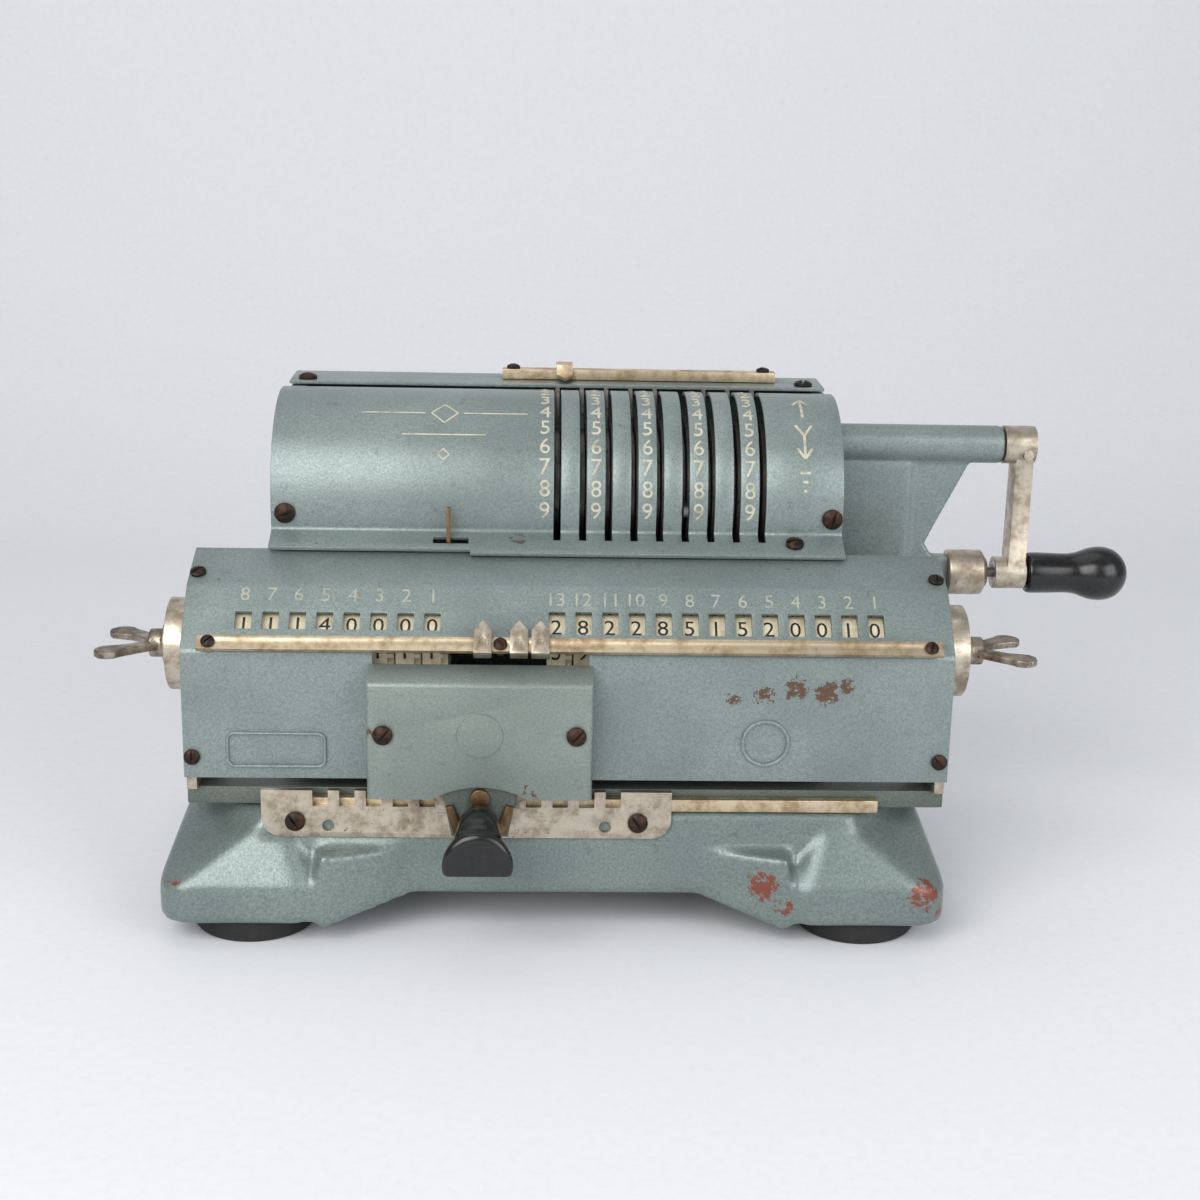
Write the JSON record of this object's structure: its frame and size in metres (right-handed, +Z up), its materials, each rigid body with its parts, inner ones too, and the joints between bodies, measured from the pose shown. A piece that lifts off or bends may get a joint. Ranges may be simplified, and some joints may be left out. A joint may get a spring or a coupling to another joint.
{
  "type": "mechanical adding machine",
  "caption": "Hand-cranked pinwheel calculating machine with a slotted setting drum, sliding register carriage, wing-nut clearing and a cast base.",
  "frame": {"origin": "bottom centre of the whole machine's box, on the table under the rubber feet", "axes": "+Z up, +X to the crank side along the drum, front (windows and shift lever) faces -Y"},
  "size_m": [0.3285, 0.156, 0.1642],
  "materials": {
    "cover_paint": "hammered satin enamel",
    "base_paint": "hammered gloss enamel",
    "lever_cover_paint": "hammered satin enamel",
    "nickel": "worn nickel plate",
    "steel": "oiled",
    "dark_steel": "oiled dark",
    "screws": "browned",
    "rubber": "matte",
    "black_plastic": "polished",
    "cream": "satin"
  },
  "bodies": {
    "frame": {"base_casting": "base_paint", "rubber_feet": "rubber", "side_frame_left": "cover_paint", "side_frame_right": "cover_paint", "drum_cover": "cover_paint", "rear_cover": "cover_paint", "frame_screws": "screws", "top_marker_rail": "nickel", "step_rack": "nickel", "guide_rail": "nickel", "crank_rest_bush": "nickel", "transfer_shaft": "steel"},
    "rotor": {"rotor_shaft": "steel", "rotor_gear": "steel", "pinwheels": "steel"},
    "crank": {"crank_shaft": "steel", "crank_gear": "steel", "crank_arm": "nickel"},
    "handle": {"handle_spindle": "steel"},
    "grip": {"handle_grip": "black_plastic"},
    "transfer": {"transfer_gears": "steel"},
    "top_pointer": {"top_marker": "nickel"},
    "slot_lever": {"slot_lever": "nickel"},
    "carriage": {"carriage_cover": "cover_paint", "carriage_end_plates": "nickel", "carriage_base_plate": "dark_steel", "register_shaft": "steel", "marker_rail": "nickel", "lever_cover": "lever_cover_paint", "carriage_screws": "screws"},
    "shift": {"shift_lever": "lever_cover_paint", "shift_knob": "black_plastic"},
    "result_nut": {"result_clear_nut": "nickel"},
    "counter_nut": {"counter_clear_nut": "nickel"},
    "counter_wheels": {"counter_wheels": "cream"},
    "marker_1": {"decimal_marker_1": "nickel"},
    "marker_2": {"decimal_marker_2": "nickel"},
    "marker_3": {"decimal_marker_3": "nickel"},
    "lever_1": {"setting_lever_1": "nickel"},
    "lever_2": {"setting_lever_2": "nickel"},
    "lever_3": {"setting_lever_3": "nickel"},
    "lever_4": {"setting_lever_4": "nickel"},
    "lever_5": {"setting_lever_5": "nickel"},
    "lever_6": {"setting_lever_6": "nickel"},
    "lever_7": {"setting_lever_7": "nickel"},
    "lever_8": {"setting_lever_8": "nickel"},
    "lever_9": {"setting_lever_9": "nickel"},
    "wheel_1": {"result_wheel_1": "cream"},
    "wheel_2": {"result_wheel_2": "cream"},
    "wheel_3": {"result_wheel_3": "cream"},
    "wheel_4": {"result_wheel_4": "cream"},
    "wheel_5": {"result_wheel_5": "cream"},
    "wheel_6": {"result_wheel_6": "cream"},
    "wheel_7": {"result_wheel_7": "cream"},
    "wheel_8": {"result_wheel_8": "cream"},
    "wheel_9": {"result_wheel_9": "cream"},
    "wheel_10": {"result_wheel_10": "cream"},
    "wheel_11": {"result_wheel_11": "cream"},
    "wheel_12": {"result_wheel_12": "cream"},
    "wheel_13": {"result_wheel_13": "cream"}
  },
  "joints": [
    {"name": "rotor_turn", "type": "hinge", "parent": "frame", "child": "rotor", "pos_m": [0.0051, 0.02, 0.126], "axis": [1, 0, 0], "continuous": true},
    {"name": "crank_turn", "type": "hinge", "parent": "frame", "child": "crank", "pos_m": [0.1251, 0.02, 0.143], "axis": [1, 0, 0], "continuous": true},
    {"name": "handle_pull", "type": "slide", "parent": "crank", "child": "handle", "axis": [1, 0, 0], "range_m": [0, 0.008], "stiffness_N_per_m": 400, "springref_m": -0.004},
    {"name": "grip_turn", "type": "hinge", "parent": "handle", "child": "grip", "pos_m": [0.1451, 0.02, 0.0998], "axis": [1, 0, 0], "continuous": true},
    {"name": "lever_1_set", "type": "hinge", "parent": "rotor", "child": "lever_1", "pos_m": [-0.0269, 0.02, 0.126], "axis": [1, 0, 0], "range_deg": [0, 108.4]},
    {"name": "lever_2_set", "type": "hinge", "parent": "rotor", "child": "lever_2", "pos_m": [-0.0189, 0.02, 0.126], "axis": [1, 0, 0], "range_deg": [0, 108.4]},
    {"name": "lever_3_set", "type": "hinge", "parent": "rotor", "child": "lever_3", "pos_m": [-0.0109, 0.02, 0.126], "axis": [1, 0, 0], "range_deg": [0, 108.4]},
    {"name": "lever_4_set", "type": "hinge", "parent": "rotor", "child": "lever_4", "pos_m": [-0.0029, 0.02, 0.126], "axis": [1, 0, 0], "range_deg": [0, 108.4]},
    {"name": "lever_5_set", "type": "hinge", "parent": "rotor", "child": "lever_5", "pos_m": [0.0051, 0.02, 0.126], "axis": [1, 0, 0], "range_deg": [0, 108.4]},
    {"name": "lever_6_set", "type": "hinge", "parent": "rotor", "child": "lever_6", "pos_m": [0.0131, 0.02, 0.126], "axis": [1, 0, 0], "range_deg": [-108.4, 0]},
    {"name": "lever_7_set", "type": "hinge", "parent": "rotor", "child": "lever_7", "pos_m": [0.0211, 0.02, 0.126], "axis": [1, 0, 0], "range_deg": [0, 108.4]},
    {"name": "lever_8_set", "type": "hinge", "parent": "rotor", "child": "lever_8", "pos_m": [0.0291, 0.02, 0.126], "axis": [1, 0, 0], "range_deg": [0, 108.4]},
    {"name": "lever_9_set", "type": "hinge", "parent": "rotor", "child": "lever_9", "pos_m": [0.0371, 0.02, 0.126], "axis": [1, 0, 0], "range_deg": [0, 108.4]},
    {"name": "transfer_turn", "type": "hinge", "parent": "frame", "child": "transfer", "pos_m": [0.0051, -0.013, 0.101], "axis": [1, 0, 0], "continuous": true},
    {"name": "top_pointer_slide", "type": "slide", "parent": "frame", "child": "top_pointer", "axis": [1, 0, 0], "range_m": [-0.0115, 0.061]},
    {"name": "slot_lever_slide", "type": "slide", "parent": "frame", "child": "slot_lever", "axis": [1, 0, 0], "range_m": [-0.0035, 0.003]},
    {"name": "carriage_slide", "type": "slide", "parent": "frame", "child": "carriage", "axis": [1, 0, 0], "range_m": [-0.032, 0.024]},
    {"name": "marker_1_slide", "type": "slide", "parent": "carriage", "child": "marker_1", "axis": [1, 0, 0], "range_m": [-0.0753, 0]},
    {"name": "marker_2_slide", "type": "slide", "parent": "carriage", "child": "marker_2", "axis": [1, 0, 0], "range_m": [0, 0.056]},
    {"name": "marker_3_slide", "type": "slide", "parent": "marker_2", "child": "marker_3", "axis": [1, 0, 0], "range_m": [0, 0.055]},
    {"name": "shift_rock", "type": "hinge", "parent": "carriage", "child": "shift", "pos_m": [-0.0493, -0.055, 0.068], "axis": [0, 1, 0], "range_deg": [-6, 6], "stiffness_Nm_per_rad": 0.3},
    {"name": "result_clear_turn", "type": "hinge", "parent": "carriage", "child": "result_nut", "pos_m": [0.1001, -0.032, 0.0875], "axis": [1, 0, 0], "continuous": true},
    {"name": "counter_clear_turn", "type": "hinge", "parent": "carriage", "child": "counter_nut", "pos_m": [-0.1449, -0.032, 0.0875], "axis": [1, 0, 0], "continuous": true},
    {"name": "counter_wheels_turn", "type": "hinge", "parent": "carriage", "child": "counter_wheels", "pos_m": [-0.0919, -0.032, 0.0875], "axis": [1, 0, 0], "continuous": true},
    {"name": "wheel_1_turn", "type": "hinge", "parent": "carriage", "child": "wheel_1", "pos_m": [-0.0269, -0.032, 0.0875], "axis": [1, 0, 0], "continuous": true},
    {"name": "wheel_2_turn", "type": "hinge", "parent": "carriage", "child": "wheel_2", "pos_m": [-0.0189, -0.032, 0.0875], "axis": [1, 0, 0], "continuous": true},
    {"name": "wheel_3_turn", "type": "hinge", "parent": "carriage", "child": "wheel_3", "pos_m": [-0.0109, -0.032, 0.0875], "axis": [1, 0, 0], "continuous": true},
    {"name": "wheel_4_turn", "type": "hinge", "parent": "carriage", "child": "wheel_4", "pos_m": [-0.0029, -0.032, 0.0875], "axis": [1, 0, 0], "continuous": true},
    {"name": "wheel_5_turn", "type": "hinge", "parent": "carriage", "child": "wheel_5", "pos_m": [0.0051, -0.032, 0.0875], "axis": [1, 0, 0], "continuous": true},
    {"name": "wheel_6_turn", "type": "hinge", "parent": "carriage", "child": "wheel_6", "pos_m": [0.0131, -0.032, 0.0875], "axis": [1, 0, 0], "continuous": true},
    {"name": "wheel_7_turn", "type": "hinge", "parent": "carriage", "child": "wheel_7", "pos_m": [0.0211, -0.032, 0.0875], "axis": [1, 0, 0], "continuous": true},
    {"name": "wheel_8_turn", "type": "hinge", "parent": "carriage", "child": "wheel_8", "pos_m": [0.0291, -0.032, 0.0875], "axis": [1, 0, 0], "continuous": true},
    {"name": "wheel_9_turn", "type": "hinge", "parent": "carriage", "child": "wheel_9", "pos_m": [0.0371, -0.032, 0.0875], "axis": [1, 0, 0], "continuous": true},
    {"name": "wheel_10_turn", "type": "hinge", "parent": "carriage", "child": "wheel_10", "pos_m": [0.0451, -0.032, 0.0875], "axis": [1, 0, 0], "continuous": true},
    {"name": "wheel_11_turn", "type": "hinge", "parent": "carriage", "child": "wheel_11", "pos_m": [0.0531, -0.032, 0.0875], "axis": [1, 0, 0], "continuous": true},
    {"name": "wheel_12_turn", "type": "hinge", "parent": "carriage", "child": "wheel_12", "pos_m": [0.0611, -0.032, 0.0875], "axis": [1, 0, 0], "continuous": true},
    {"name": "wheel_13_turn", "type": "hinge", "parent": "carriage", "child": "wheel_13", "pos_m": [0.0691, -0.032, 0.0875], "axis": [1, 0, 0], "continuous": true}
  ],
  "couplings": [
    {"joint": "crank_turn", "follows": "rotor_turn", "ratio": -1}
  ]
}
